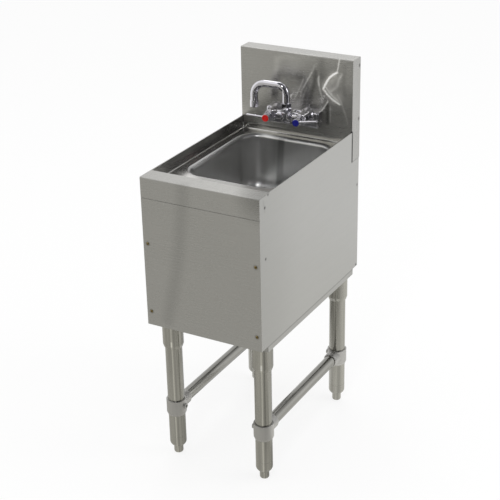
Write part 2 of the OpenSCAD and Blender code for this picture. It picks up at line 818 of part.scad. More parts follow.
// A lever handle: a hub on the stem and a flat lever, raised by an angle from level.
module handle(side, lift) {
    tip_r = lever_h * 0.42;
    color("gainsboro") placed() translate([side * valve_x, 0, valve_z]) rotate([0, -side * lift, 0]) on_side(side)
        difference() {
            union() {
                translate([0, hub_y + hub_l, 0]) rotate([90, 0, 0]) rotate_extrude() polygon([
                    [0, 0], [hub_r - 0.8, 0], [hub_r, 0.8], [hub_r, hub_l - 0.6], [hub_r - 0.6, hub_l], [0, hub_l]
                ]);
                translate([hub_r * 0.5, lever_y, 0]) rotate([0, 90, 0])
                    cylinder(r1 = lever_h / 2 + 1.2, r2 = lever_h / 2, h = hub_r);
                translate([hub_r, lever_y, 0]) rotate([0, 90, 0])
                    cylinder(r1 = lever_h / 2, r2 = tip_r, h = lever_l - tip_r - hub_r);
                translate([lever_l - tip_r, lever_y, 0]) sphere(tip_r);
            }
            rod_y(0, 0, valve_stem_r + 0.03, hub_y + 4.5, hub_y + hub_l + cut);
            rod_y(0, 0, 2.1, hub_y - cut, hub_y + 6);
            rod_y(0, 0, 4, hub_y - cut, hub_y + 2);
        }
}

module handle_screw(side) {
    color("dimgray") placed() translate([side * valve_x, 0, valve_z]) {
        rod_y(0, 0, 3.6, hub_y + 0.2, hub_y + 2);
        rod_y(0, 0, 2, hub_y + 2, hub_y + 13);
    }
}

module index_button(side, tint) {
    color(tint) placed() translate([side * valve_x, hub_y, valve_z]) rotate([90, 0, 0]) rotate_extrude()
        polygon([[0, 0], [button_r, 0], [button_r, button_t * 0.6], [button_r - 0.7, button_t], [0, button_t]]);
}

module spout_nut() {
    color("gainsboro") placed() translate([0, riser_y, hub_top_z]) difference() {
        hex_blank(nut_af, nut_h);
        translate([0, 0, -cut]) cylinder(r = spigot_r + fit_gap, h = nut_h - nut_lip + cut);
        cylinder(r = spout_r + fit_gap, h = nut_h + cut);
    }
}

module spout_packing() {
    color("black") placed() translate([0, riser_y, 0])
        ring(spout_r + fit_gap, spigot_r, collar_z + collar_t + 0.2, nut_top_z - nut_lip);
}

// The spout's centre line as a solid of the given radius, swung to the left.
module spout_path(r, ends) {
    arm_end = outlet_bend - spout_reach;
    riser_end = arm_z - riser_bend;
    outlet_start = arm_z - outlet_bend;
    mouth_end = mouth_z + mouth_seat - ends;
    translate([0, 0, spout_tail_z - ends]) cylinder(r = r, h = riser_end - spout_tail_z + ends);
    translate([-riser_bend, 0, riser_end]) rotate([90, 0, 0])
        rotate_extrude(angle = 90) translate([riser_bend, 0]) circle(r);
    translate([arm_end, 0, arm_z]) rotate([0, 90, 0]) cylinder(r = r, h = -riser_bend - arm_end);
    translate([arm_end, 0, outlet_start]) rotate([90, 0, 0]) rotate(90)
        rotate_extrude(angle = 90) translate([outlet_bend, 0]) circle(r);
    translate([-spout_reach, 0, mouth_end]) cylinder(r = r, h = outlet_start - mouth_end);
}

module spout_tube() {
    color("gainsboro") placed() translate([0, riser_y, 0]) difference() {
        union() {
            spout_path(spout_r, 0);
            translate([0, 0, collar_z]) cylinder(r = spigot_r - 0.2, h = collar_t);
        }
        spout_path(spout_r - spout_wall, cut);
    }
}

module spout_outlet() {
    color("gainsboro") placed() translate([-spout_reach, riser_y, mouth_z]) difference() {
        rotate_extrude() polygon([
            [0, 0], [outlet_r - 0.8, 0], [outlet_r, 0.8], [outlet_r, outlet_h - 0.7], [outlet_r - 0.7, outlet_h],
            [0, outlet_h]
        ]);
        translate([0, 0, mouth_seat]) cylinder(r = spout_r + 0.03, h = outlet_h);
        translate([0, 0, -cut]) cylinder(r = spout_r - spout_wall, h = outlet_h);
    }
}

// Moves heights measured from the drain's seat to the drain's place in the bowl.
module at_drain() {
    placed() translate([0, bowl_y, recess_z]) children();
}

module drain_flange() {
    bar = 3;
    color("gainsboro") at_drain() {
        rotate_extrude() polygon([
            [drain_bore_r, -drain_l], [drain_r, -drain_l], [drain_r, 0], [flange_r, 0], [flange_r - 0.8, 2.2],
            [strainer_r + 0.1, 2.2], [strainer_r + 0.1, strainer_z], [drain_bore_r, -1.5]
        ]);
        difference() {
            translate([0, 0, spider_z]) {
                cylinder(r = 5, h = spider_h);
                for (a = [0, 90]) rotate(a) translate([-drain_bore_r - 0.5, -bar / 2, 0])
                    cube([2 * drain_bore_r + 1, bar, spider_h]);
            }
            translate([0, 0, spider_z - cut])
                cylinder(r = strainer_screw_r + thread_play, h = spider_h + 2 * cut);
        }
    }
}

module drain_strainer() {
    rings = [[9, 6], [16, 12], [23, 18]]; // radius of each ring of holes, and how many
    color("silver") at_drain() difference() {
        translate([0, 0, strainer_z]) cylinder(r = strainer_r, h = strainer_t);
        for (row = rings, k = [0:row[1] - 1])
            rotate(k * 360 / row[1]) translate([row[0], 0, 0]) cylinder(r = 2.2, h = 4, $fn = 24);
        cylinder(r = strainer_screw_r + 0.15, h = 4);
    }
}

module strainer_screw() {
    color("silver") at_drain() {
        translate([0, 0, strainer_z + strainer_t])
            rotate_extrude() polygon([[0, 0], [3.4, 0], [3, 0.9], [1.8, 1.5], [0, 1.7]]);
        translate([0, 0, spider_z + 1]) cylinder(r = strainer_screw_r, h = strainer_z + strainer_t - spider_z - 1);
    }
}

module drain_gasket() {
    top = -sheet;
    color("black") at_drain() ring(drain_r + 0.2, flange_r + 0.5, top - gasket_t, top);
}

module drain_locknut() {
    top = -sheet - gasket_t;
    color("goldenrod") at_drain() difference() {
        translate([0, 0, top - locknut_t]) cylinder(r = flange_r + 1.5, h = locknut_t, $fn = 8);
        translate([0, 0, top - locknut_t - cut]) cylinder(r = drain_r, h = locknut_t + 2 * cut);
    }
}

module drain_tailpiece() {
    color("gainsboro") at_drain() translate([0, 0, -drain_l - tail_l]) {
        ring(tail_r - 1.2, tail_r, 0, tail_l - tail_swage_l);
        ring(tail_r - 1.2, tail_r + tail_swage, tail_l - tail_swage_l, tail_l);
        ring(tail_r - 1.2, drain_r - 1.5, tail_l - tail_lip_t, tail_l);
    }
}

module tailpiece_nut() {
    low = -drain_l - tail_lip_t - 8;
    color("gainsboro") at_drain() difference() {
        translate([0, 0, low]) hex_blank(2 * drain_r + 6, tail_nut_h);
        translate([0, 0, low - cut]) cylinder(r = tail_r + tail_swage + fit_gap, h = tail_nut_h);
        translate([0, 0, low + 8]) cylinder(r = drain_r, h = tail_nut_h);
    }
}

side_panel(-1);  // left_side_panel
side_panel(1);  // right_side_panel
front_apron();
front_panel();
front_panel_screws();
deck_pan();
sink_bowl();
backsplash();
rear_brace();
leg_channel(-1);  // left_leg_channel
leg_channel(1);  // right_leg_channel
leg_socket(-1, leg_front_y);  // leg_socket_front_left
leg_socket(1, leg_front_y);  // leg_socket_front_right
leg_socket(-1, leg_rear_y);  // leg_socket_rear_left
leg_socket(1, leg_rear_y);  // leg_socket_rear_right
socket_bolts();
leg_tube(-1, leg_front_y);  // leg_tube_front_left
leg_tube(1, leg_front_y);  // leg_tube_front_right
leg_tube(-1, leg_rear_y);  // leg_tube_rear_left
leg_tube(1, leg_rear_y);  // leg_tube_rear_right
foot_insert(-1, leg_front_y);  // foot_insert_front_left
foot_insert(1, leg_front_y);  // foot_insert_front_right
foot_insert(-1, leg_rear_y);  // foot_insert_rear_left
foot_insert(1, leg_rear_y);  // foot_insert_rear_right
bullet_foot(-1, leg_front_y);  // bullet_foot_front_left
bullet_foot(1, leg_front_y);  // bullet_foot_front_right
bullet_foot(-1, leg_rear_y);  // bullet_foot_rear_left
bullet_foot(1, leg_rear_y);  // bullet_foot_rear_right
rail_tee(-1, leg_front_y, 1);  // rail_tee_front_left
rail_tee(1, leg_front_y, 1);  // rail_tee_front_right
rail_tee(-1, leg_rear_y, -1);  // rail_tee_rear_left
rail_tee(1, leg_rear_y, -1);  // rail_tee_rear_right
side_rail(-1);  // left_side_rail
side_rail(1);  // right_side_rail
set_screws();
faucet_body();
faucet_shanks();
shank_washers();
shank_locknuts();
bonnet(-1);  // hot_bonnet
bonnet(1);  // cold_bonnet
valve_stem(-1);  // hot_stem
valve_stem(1);  // cold_stem
handle(-1, 0);  // hot_handle
handle(1, cold_lift_angle);  // cold_handle
handle_screw(-1);  // hot_handle_screw
handle_screw(1);  // cold_handle_screw
index_button(-1, "red");  // hot_index_button
index_button(1, "blue");  // cold_index_button
spout_nut();
spout_packing();
spout_tube();
spout_outlet();
drain_flange();
drain_strainer();
strainer_screw();
drain_gasket();
drain_locknut();
drain_tailpiece();
tailpiece_nut();
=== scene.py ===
# %% [markdown]
# # An underbar hand sink
#
# The object is a narrow stainless-steel cabinet on four tube legs, with a drawn bowl, a splash and a chrome
# faucet. Every solid of it comes from the CAD model, in metres. This file gives each solid the finish that
# the real piece has, adds the details that are too fine for the CAD model, and sets up the view of the
# photograph.

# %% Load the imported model
import math

import bmesh
import bpy
from mathutils import Matrix, Vector


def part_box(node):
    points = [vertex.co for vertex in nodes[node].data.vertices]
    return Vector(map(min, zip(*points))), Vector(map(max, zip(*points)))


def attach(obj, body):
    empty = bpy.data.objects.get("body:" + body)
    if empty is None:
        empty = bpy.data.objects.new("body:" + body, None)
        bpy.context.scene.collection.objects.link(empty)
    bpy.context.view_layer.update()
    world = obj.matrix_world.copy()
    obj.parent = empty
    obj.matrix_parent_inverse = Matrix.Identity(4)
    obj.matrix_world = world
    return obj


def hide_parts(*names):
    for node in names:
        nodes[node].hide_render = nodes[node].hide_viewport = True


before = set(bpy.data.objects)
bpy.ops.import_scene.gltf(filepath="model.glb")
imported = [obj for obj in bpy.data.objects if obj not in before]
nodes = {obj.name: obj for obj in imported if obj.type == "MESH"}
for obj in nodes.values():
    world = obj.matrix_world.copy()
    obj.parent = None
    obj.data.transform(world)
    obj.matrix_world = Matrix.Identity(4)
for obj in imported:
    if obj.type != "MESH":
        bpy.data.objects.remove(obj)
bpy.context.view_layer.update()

# %% [markdown]
# ## The camera
#
# The photograph was taken from the right of the front, well above the rim, with a long lens and a slight
# roll. The rim, the splash and the feet fix such a camera: its turn, height angle and roll were fitted to
# them, so they are written as angles, and the matrix is built from them.

# %% Camera of the photograph
VIEW_TURN = math.radians(29.54)
VIEW_HEIGHT = math.radians(24.91)
VIEW_ROLL = math.radians(-1.27)
VIEW_FROM = Vector((1.36555, -2.44053, 1.79641))
LENS = 91.6
SENSOR = 36.0


def camera_axes(turn, height, roll):
    """The camera's right, up and back directions for a turn from the front, a height angle and a roll."""
    back = Vector((math.sin(turn) * math.cos(height), -math.cos(turn) * math.cos(height), math.sin(height)))
    right = Vector((0, 0, 1)).cross(back).normalized()
    up = back.cross(right)
    return (math.cos(roll) * right + math.sin(roll) * up,
            math.cos(roll) * up - math.sin(roll) * right, back)


camera = bpy.data.objects.new("photo_camera", bpy.data.cameras.new("photo_camera"))
bpy.context.scene.collection.objects.link(camera)
camera.data.lens = LENS
camera.data.sensor_width = SENSOR
right, up, back = camera_axes(VIEW_TURN, VIEW_HEIGHT, VIEW_ROLL)
camera.matrix_world = Matrix.Translation(VIEW_FROM) @ Matrix((right, up, back)).transposed().to_4x4()
bpy.context.scene.camera = camera
bpy.context.scene.view_settings.view_transform = "Standard"
print("camera at", [round(c, 3) for c in camera.location], "with a", LENS, "mm lens")

# %% [markdown]
# ## The studio
#
# Polished steel has hardly a colour of its own: it shows its surroundings. So the surroundings are made
# first. The floor and the world are white, as in the photograph. Grey mats lie about the sink and give the
# front and the splash their darker tone. A dark strip among them draws the dark upright line on the legs:
# each point of a round tube mirrors another direction. Dark cloths hang farther out on the camera's side:
# chrome needs them, because chrome in an all-white room looks like white paint. All these cards are met by
# reflections only, so they throw no shadow and never show. Farther out, a dark mat in front and a white one
# on the left give the chrome both tones to mirror, and a dark ceiling does so for the deck, the bowl and all
# that looks up. The real room isn't known: the cards are chosen so that the tones come out as in the
# photograph.

# %% Studio: white world
def new_tree(owner):
    """An empty node tree on a material or world."""
    owner.use_nodes = True
    owner.node_tree.nodes.clear()
    return owner.node_tree


def add_node(tree, kind, **values):
    """A node of one kind, with properties and input values set by name."""
    node = tree.nodes.new(kind)
    for name, value in values.items():
        if name in node.inputs:
            node.inputs[name].default_value = value
        else:
            setattr(node, name, value)
    return node


WORLD_FILL = 0.85       # what falls on rubber, plastic and the floor
world = bpy.data.worlds.new("white_room")
bpy.context.scene.world = world
tree = new_tree(world)
seen = add_node(tree, "ShaderNodeLightPath")
shown = add_node(tree, "ShaderNodeMath", operation="ADD", use_clamp=True)
shown_or_mirrored = add_node(tree, "ShaderNodeMath", operation="ADD", use_clamp=True)
tree.links.new(seen.outputs["Is Camera Ray"], shown.inputs[0])
tree.links.new(seen.outputs["Is Glossy Ray"], shown.inputs[1])
tree.links.new(shown.outputs[0], shown_or_mirrored.inputs[0])
tree.links.new(seen.outputs["Is Transmission Ray"], shown_or_mirrored.inputs[1])
fill = add_node(tree, "ShaderNodeBackground")
fill.inputs["Color"].default_value = (1, 1, 1, 1)
fill.inputs["Strength"].default_value = WORLD_FILL
backdrop = add_node(tree, "ShaderNodeBackground")
backdrop.inputs["Color"].default_value = (1, 1, 1, 1)
backdrop.inputs["Strength"].default_value = 1.0
mixed = add_node(tree, "ShaderNodeMixShader")
tree.links.new(shown_or_mirrored.outputs[0], mixed.inputs["Fac"])
tree.links.new(fill.outputs[0], mixed.inputs[1])
tree.links.new(backdrop.outputs[0], mixed.inputs[2])
tree.links.new(mixed.outputs[0], add_node(tree, "ShaderNodeOutputWorld").inputs["Surface"])
print("world fill", WORLD_FILL)


# %% Studio: floor, mats and cloths
def make_card(name, corners, colour, glow=0.0, hidden=True):
    """A flat card through its corners, part of the studio. A hidden card is met by reflections only."""
    mesh = bmesh.new()
    mesh.faces.new([mesh.verts.new(c) for c in corners])
    data = bpy.data.meshes.new(name)
    mesh.to_mesh(data)
    mesh.free()
    card = bpy.data.objects.new(name, data)
    bpy.context.scene.collection.objects.link(card)
    tree = new_tree(bpy.data.materials.new(name))
    paper = add_node(tree, "ShaderNodeBsdfDiffuse")
    paper.inputs["Color"].default_value = (*colour, 1)
    light = add_node(tree, "ShaderNodeEmission")
    light.inputs["Color"].default_value = (*colour, 1)
    both = add_node(tree, "ShaderNodeMixShader")
    both.inputs["Fac"].default_value = glow
    tree.links.new(paper.outputs[0], both.inputs[1])
    tree.links.new(light.outputs[0], both.inputs[2])
    tree.links.new(both.outputs[0], add_node(tree, "ShaderNodeOutputMaterial").inputs["Surface"])
    data.materials.append(bpy.data.materials[name])
    if hidden:
        card.visible_camera = False
        card.visible_shadow = False
        card.visible_diffuse = False


FLOOR_R = 14.0
make_card("white_floor", [(-FLOOR_R, -FLOOR_R, 0), (FLOOR_R, -FLOOR_R, 0), (FLOOR_R, FLOOR_R, 0),
                          (-FLOOR_R, FLOOR_R, 0)], (1.0, 1.0, 1.0), glow=0.78, hidden=False)


def around(turn, reach, height):
    """A place seen from the sink: a turn from +X in degrees, a reach and a height."""
    return reach * math.cos(math.radians(turn)), reach * math.sin(math.radians(turn)), height


MAT_STEPS = 12


def lay_mat(name, turns, reach, colour, lift):
    """A mat on the floor, a part of a ring about the sink."""
    steps = [turns[0] + (turns[1] - turns[0]) * k / MAT_STEPS for k in range(MAT_STEPS + 1)]
    inner = [around(t, reach[0], lift) for t in steps]
    outer = [around(t, reach[1], lift) for t in steps[::-1]]
    make_card(name, inner + outer, colour, glow=1.0)


CLOTH_REACH = 5.5


def hang_cloth(name, turns, colour, height):
    """An upright cloth, well away from the sink."""
    corners = [(turns[0], 0), (turns[1], 0), (turns[1], height), (turns[0], height)]
    make_card(name, [around(t, CLOTH_REACH, z) for t, z in corners], colour, glow=1.0)


GREY = (0.56, 0.553, 0.525)
PALE = (0.90, 0.895, 0.87)
DARK = (0.05, 0.05, 0.055)
lay_mat("grey_mat", (-200, -20), (0.05, 4.8), GREY, 0.002)
lay_mat("pale_mat", (-20, 80), (0.05, 1.2), PALE, 0.002)
lay_mat("dark_strip", (-52, -40), (0.40, 1.7), (0.36, 0.36, 0.34), 0.004)
lay_mat("dark_mat_front", (-100, 15), (1.8, 5.4), DARK, 0.006)
lay_mat("white_mat_left", (-218, -150), (1.8, 5.4), (1.0, 1.0, 1.0), 0.006)
hang_cloth("grey_cloth", (-150, -95), GREY, 3.6)
hang_cloth("dark_cloth_front", (-95, -30), DARK, 8.0)
hang_cloth("middle_cloth", (-30, 30), (0.30, 0.30, 0.30), 5.0)
CEILING = 3.5
make_card("dark_ceiling", [(-1.2, -2.9, CEILING), (3.5, -2.9, CEILING), (3.5, 1.5, CEILING),
                           (-1.2, 1.5, CEILING)], (0.13, 0.13, 0.135), glow=1.0)


# %% Studio: lamps
def add_lamp(name, place, target, size, power, colour=(1, 1, 1)):
    """A square soft lamp that looks at a point."""
    lamp = bpy.data.objects.new(name, bpy.data.lights.new(name, "AREA"))
    bpy.context.scene.collection.objects.link(lamp)
    lamp.data.size = size
    lamp.data.energy = power
    lamp.data.color = colour
    lamp.location = place
    lamp.rotation_euler = (Vector(place) - Vector(target)).to_track_quat("Z", "Y").to_euler()


SINK_MIDDLE = (0, 0, 0.6)
add_lamp("top_lamp", (-0.9, 1.5, 2.9), SINK_MIDDLE, 1.2, 7)
add_lamp("side_lamp", (2.6, 0.9, 1.9), SINK_MIDDLE, 1.4, 16)
add_lamp("front_lamp", (0.65, -2.6, 3.2), SINK_MIDDLE, 0.5, 14)


# %% [markdown]
# ## Helpers for finishes
#
# The sheet is stainless steel with a ground finish: fine grooves in one direction, which draw a reflection
# out across them. One could paint the grooves as an image, but noise that is stretched along the grain
# needs none and holds up close. The noise drives three things a little: the colour, the roughness and the
# bump.

# %% Helpers: noise, ranges and sums
AXES = {"x": 0, "y": 1, "z": 2}


def stretched_noise(tree, along, fine, stretch, detail=3.0, offset=(0, 0, 0)):
    """Noise on Object coordinates, with `fine` features a metre across the grain and drawn out along it."""
    scale = [fine, fine, fine]
    scale[AXES[along]] = fine / stretch
    place = add_node(tree, "ShaderNodeTexCoord")
    mapping = add_node(tree, "ShaderNodeMapping")
    mapping.inputs["Scale"].default_value = scale
    mapping.inputs["Location"].default_value = offset
    noise = add_node(tree, "ShaderNodeTexNoise")
    noise.inputs["Scale"].default_value = 1.0
    noise.inputs["Detail"].default_value = detail
    noise.inputs["Roughness"].default_value = 0.6
    tree.links.new(place.outputs["Object"], mapping.inputs["Vector"])
    tree.links.new(mapping.outputs[0], noise.inputs["Vector"])
    return noise.outputs["Fac"]


def spread(tree, value, low, high, from_low=0.3, from_high=0.7, smooth=False):
    """Maps a value to a range, held at its ends."""
    node = add_node(tree, "ShaderNodeMapRange")
    node.interpolation_type = "SMOOTHSTEP" if smooth else "LINEAR"
    node.inputs["From Min"].default_value = from_low
    node.inputs["From Max"].default_value = from_high
    node.inputs["To Min"].default_value = low
    node.inputs["To Max"].default_value = high
    tree.links.new(value, node.inputs["Value"])
    return node.outputs["Result"]


def math_node(tree, operation, a, b):
    """A two-value sum, product or other step."""
    node = add_node(tree, "ShaderNodeMath", operation=operation)
    for socket, value in zip(node.inputs, (a, b)):
        if isinstance(value, (int, float)):
            socket.default_value = value
        else:
            tree.links.new(value, socket)
    return node.outputs[0]


def vector_node(tree, operation, a, b=None, scale=None):
    """A step on vectors: difference, dot product, scaling or length."""
    node = add_node(tree, "ShaderNodeVectorMath", operation=operation)
    for socket, value in zip(node.inputs, (a, b)):
        if isinstance(value, (tuple, Vector)):
            socket.default_value = value
        elif value is not None:
            tree.links.new(value, socket)
    if scale is not None:
        tree.links.new(scale, node.inputs["Scale"])
    return node.outputs["Value" if operation in ("DOT_PRODUCT", "LENGTH") else "Vector"]


def tinted(tree, colour, factor):
    """A colour made lighter or darker by a factor that varies over the surface."""
    node = add_node(tree, "ShaderNodeMix", data_type="RGBA", blend_type="MULTIPLY")
    node.inputs["Factor"].default_value = 1.0
    sockets = [s for s in node.inputs if s.type == "RGBA"]
    sockets[0].default_value = (*colour, 1)
    tree.links.new(factor, sockets[1])
    return [s for s in node.outputs if s.type == "RGBA"][0]


# %% [markdown]
# ## Helpers for marks
#
# Real sheet metal isn't clean: it has weld spots, smudges and pale streaks of light that the curved chrome
# throws on it. Each mark is placed after the photograph, some were then moved, and it is written as
# a point or a line on the sheet. The distance from that line becomes a soft mask, so no image is needed and
# a mark stays sharp. Round pieces have another kind of mark, the upright light and dark bands of what they
# mirror: there the mask comes from the direction in which the surface faces. Both kinds are painted, so
# they stay when the view changes.

# %% Helpers: strokes and spots
def near_line(tree, start, end, width):
    """A mask that is 1 on the line between two points and fades to 0 at the given distance from it."""
    start, end = Vector(start), Vector(end)
    place = add_node(tree, "ShaderNodeTexCoord").outputs["Object"]
    from_start = vector_node(tree, "SUBTRACT", place, start)
    along = end - start
    share = math_node(tree, "MINIMUM", math_node(tree, "MAXIMUM", vector_node(
        tree, "DOT_PRODUCT", from_start, along / max(along.length_squared, 1e-12)), 0.0), 1.0)
    foot = vector_node(tree, "SCALE", tuple(along), scale=share)
    away = vector_node(tree, "LENGTH", vector_node(tree, "SUBTRACT", from_start, foot))
    return spread(tree, away, 1.0, 0.0, 0.0, width, smooth=True)


def strongest(tree, masks):
    """The strongest of several masks at each place."""
    result = masks[0]
    for mask in masks[1:]:
        result = math_node(tree, "MAXIMUM", result, mask)
    return result


def stroke(tree, points, width):
    """A mask along a line of several points."""
    return strongest(tree, [near_line(tree, a, b, width) for a, b in zip(points, points[1:])])


def faced(tree, direction):
    """How much the surface faces a direction, from -1 to 1."""
    return vector_node(tree, "DOT_PRODUCT", add_node(tree, "ShaderNodeTexCoord").outputs["Normal"],
                       Vector(direction).normalized())


def front_only(tree, value):
    """A value that is kept on faces that look to the front, and 0 on the others."""
    return math_node(tree, "MULTIPLY", value, spread(tree, faced(tree, (0, -1, 0)), 0.0, 1.0, 0.2, 0.8))


def bands(tree, direction, places):
    """Light and dark bands along round pieces, as a factor for the colour. Each band lies where the surface
    faces a given share of a direction; it has half a width in such shares and a change of the colour."""
    share = faced(tree, direction)
    factor = 1.0
    for place, half, change in places:
        away = math_node(tree, "ABSOLUTE", math_node(tree, "SUBTRACT", share, place), 0.0)
        factor = math_node(tree, "ADD", spread(tree, away, change, 0.0, 0.0, half, smooth=True), factor)
    return factor


# %% Helper: ground metal
def ground_steel(name, along, colour, rough, stretch_look=0.0, streaks=0.03, swing=0.04, groove=0.00001,
                 edge=0.0006, fine=700.0, cloud=0.04, draw_out=0.25, marks=None, lit=None):
    """Metal with a grain along one axis. `marks` and `lit` take the node tree: `marks` gives a factor for
    the colour, and `lit` a mask of the places where light falls so hard that the metal looks white."""
    material = bpy.data.materials.new(name)
    tree = new_tree(material)
    metal = add_node(tree, "ShaderNodeBsdfPrincipled")
    metal.inputs["Metallic"].default_value = 1.0
    metal.inputs["Anisotropic"].default_value = stretch_look
    metal.inputs["Anisotropic Rotation"].default_value = draw_out
    grain = stretched_noise(tree, along, fine, 60.0)
    band = stretched_noise(tree, along, fine / 6, 25.0, 2.0, (3, 1, 2))
    blot = stretched_noise(tree, along, 9.0, 1.6, 3.0, (7, 5, 1))
    lightness = math_node(tree, "MULTIPLY", spread(tree, band, 1 - streaks, 1 + streaks),
                          spread(tree, blot, 1 - cloud, 1 + cloud))
    if marks:
        lightness = math_node(tree, "MULTIPLY", lightness, marks(tree))
    if lit:
        mask = lit(tree)
        lightness = math_node(tree, "ADD", lightness, math_node(tree, "MULTIPLY", mask, 1.1))
        tree.links.new(spread(tree, mask, 1.0, 0.25, 0.0, 1.0), metal.inputs["Metallic"])
    tree.links.new(tinted(tree, colour, lightness), metal.inputs["Base Color"])
    worn = math_node(tree, "ADD", spread(tree, grain, rough - swing, rough + swing),
                     spread(tree, blot, -swing / 2, swing / 2))
    tree.links.new(worn, metal.inputs["Roughness"])
    soft_edge = add_node(tree, "ShaderNodeBevel", samples=6)
    soft_edge.inputs["Radius"].default_value = edge
    bump = add_node(tree, "ShaderNodeBump")
    bump.inputs["Distance"].default_value = groove
    bump.inputs["Strength"].default_value = 1.0
    tree.links.new(grain, bump.inputs["Height"])
    tree.links.new(soft_edge.outputs[0], bump.inputs["Normal"])
    tree.links.new(bump.outputs[0], metal.inputs["Normal"])
    tangent = add_node(tree, "ShaderNodeCombineXYZ")
    tangent.inputs[AXES[along]].default_value = 1.0
    tree.links.new(tangent.outputs[0], metal.inputs["Tangent"])
    tree.links.new(metal.outputs[0], add_node(tree, "ShaderNodeOutputMaterial").inputs["Surface"])
    return material


def dress(material, *names):
    """Gives CAD nodes a material."""
    for name in names:
        data = nodes[name].data
        data.materials.clear()
        data.materials.append(material)
    print(material.name, "on", len(names), "nodes")


# %% [markdown]
# ## The cabinet's sheet
#
# The front, the sides, the splash and the deck are cut from the same sheet, but their grain runs in
# different directions and each has its own marks: the sides have the dots of the spot welds that hold the
# apron and the brace, painted shade towards their front corner and painted shade in the slot beside the
# splash. The splash has painted streaks of light beside the faucet, with painted glow and shade about them,
# and the front has painted shade round its screws and the painted reflection of a faint dark band from the
# room.

# %% Marks on the sides and the splash
STEEL = (0.46, 0.455, 0.435)
low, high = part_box("right_side_panel")
SHEET = 0.0012
RIM_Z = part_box("front_apron")[1][2]
SIDE_X, FRONT_Y = high[0], low[1] - SHEET
SPLASH_Y, SLOT_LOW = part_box("deck_pan")[1][1] - SHEET, 0.677
# The weld spots on the sides: how far back from the front, and how high.
WELD_SPOTS = ((0.0396, 0.7505), (0.0242, 0.7250), (0.0247, 0.6026), (0.5026, 0.6059), (0.5027, 0.3855))


def slot_shade(tree):
    """Painted shade in the slot between the back edge of each side and the end of the splash."""
    y = SPLASH_Y + 0.0013
    slots = [near_line(tree, (x, y, RIM_Z), (x, y, SLOT_LOW), 0.0048)
             for x in (0.001 - SIDE_X, SIDE_X - 0.001)]
    return spread(tree, strongest(tree, slots), 1.0, 0.12, 0.0, 0.6)


def side_marks(tree):
    """Small dark dots where the sheet is spot-welded, a smudge, painted shade towards the front corner and
    in the slot.
    """
    spots = []
    for depth, height in WELD_SPOTS:
        left = (-SIDE_X, FRONT_Y + depth, height)
        spots.append(near_line(tree, left, (SIDE_X, *left[1:]), 0.0055))
    smudge = stroke(tree, [(SIDE_X, FRONT_Y + 0.018, 0.742), (SIDE_X, FRONT_Y + 0.024, 0.716)], 0.006)
    # Painted shade that grows towards the front corner of each side.
    front_corner_shade = strongest(tree, [near_line(tree, (x, FRONT_Y, 0.33), (x, FRONT_Y, 0.80), 0.22)
                            for x in (-SIDE_X, SIDE_X)])
    marked = math_node(tree, "SUBTRACT", spread(tree, strongest(tree, spots), 1.0, 0.15, 0.0, 1.0),
                       spread(tree, smudge, 0.0, 0.10, 0.0, 1.0))
    marked = math_node(tree, "SUBTRACT", marked, spread(tree, front_corner_shade, 0.0, 0.11, 0.0, 1.0))
    return math_node(tree, "MULTIPLY", marked, slot_shade(tree))


# Each streak: how bright it is, its width in millimetres, and its points across and up. The points were
# read by eye in the photograph, turned into millimetres on the sheet by a scratch program with this camera,
# then rounded, and some moved by hand. GLOWS and SHADES are alike: how much lighter or darker.
LIGHT_STREAKS = [
    (0.62, 3.2, [(117, 933), (114, 915), (111, 898)]),
    (1.00, 4.6, [(111, 898), (101, 892), (91, 883), (84, 873), (79, 863), (74, 852)]),
    (0.75, 4.2, [(74, 852), (78, 848), (85, 840), (93, 833), (104, 826), (112, 822), (118, 819)]),
    (0.30, 4.0, [(79, 861), (85, 852), (95, 840), (112, 829), (122, 820)]),
    (0.22, 6.0, [(123, 895), (115, 879), (111, 863), (95, 849)]),
    (0.20, 4.0, [(112, 842), (122, 826), (128, 810), (137, 787), (140, 772)]),
    (0.55, 4.2, [(62, 881), (61, 870), (63, 859)]),
    (0.35, 4.0, [(63, 859), (66, 845), (71, 829)]),
    (0.45, 3.6, [(43, 889), (31, 868), (21, 849)]),
    (0.22, 4.0, [(21, 849), (15, 840), (13, 826)]),
    (0.30, 3.4, [(21, 870), (10, 845), (1, 827), (-5, 816)]),
    (0.25, 3.6, [(29, 848), (23, 835), (17, 817)]),
    (0.18, 4.0, [(51, 909), (43, 887)]),
    (0.60, 3.2, [(58, 790), (71, 797), (79, 810), (87, 823)]),
    (0.30, 2.8, [(93, 811), (93, 771)]),
]
# GLOWS are painted light and SHADES painted shade on the face of the splash.
GLOWS = [
    (0.35, 60, [(-135, 740), (-60, 745)]),
    (0.20, 50, [(15, 928), (112, 930), (140, 880)]),
    (0.20, 14, [(-54, 868), (-51, 912), (-29, 921), (25, 917)]),
]
SHADES = [
    (0.55, 9, [(86, 812), (86, 768)]),
    (0.42, 11, [(54, 892), (50, 861), (41, 832), (38, 806)]),
    (0.22, 16, [(70, 919), (68, 896), (70, 881)]),
    (0.16, 9, [(131, 917), (130, 894), (128, 871), (132, 845)]),
]
SPLASH_DOTS = [(SIDE_X, 0.2512, 0.9113), (SIDE_X, 0.2512, 0.7776)]


def on_splash(points):
    """Points given in millimetres across and up, on the face of the splash."""
    return [(x / 1000, SPLASH_Y, z / 1000) for x, z in points]


def several(tree, strokes):
    """The strongest of several strokes on the splash, each with its own strength and width."""
    return strongest(tree, [
        math_node(tree, "MULTIPLY", stroke(tree, on_splash(points), width / 1000), strength)
        for strength, width, points in strokes])


def thrown_light(tree):
    """The sharp streaks."""
    return front_only(tree, several(tree, LIGHT_STREAKS))


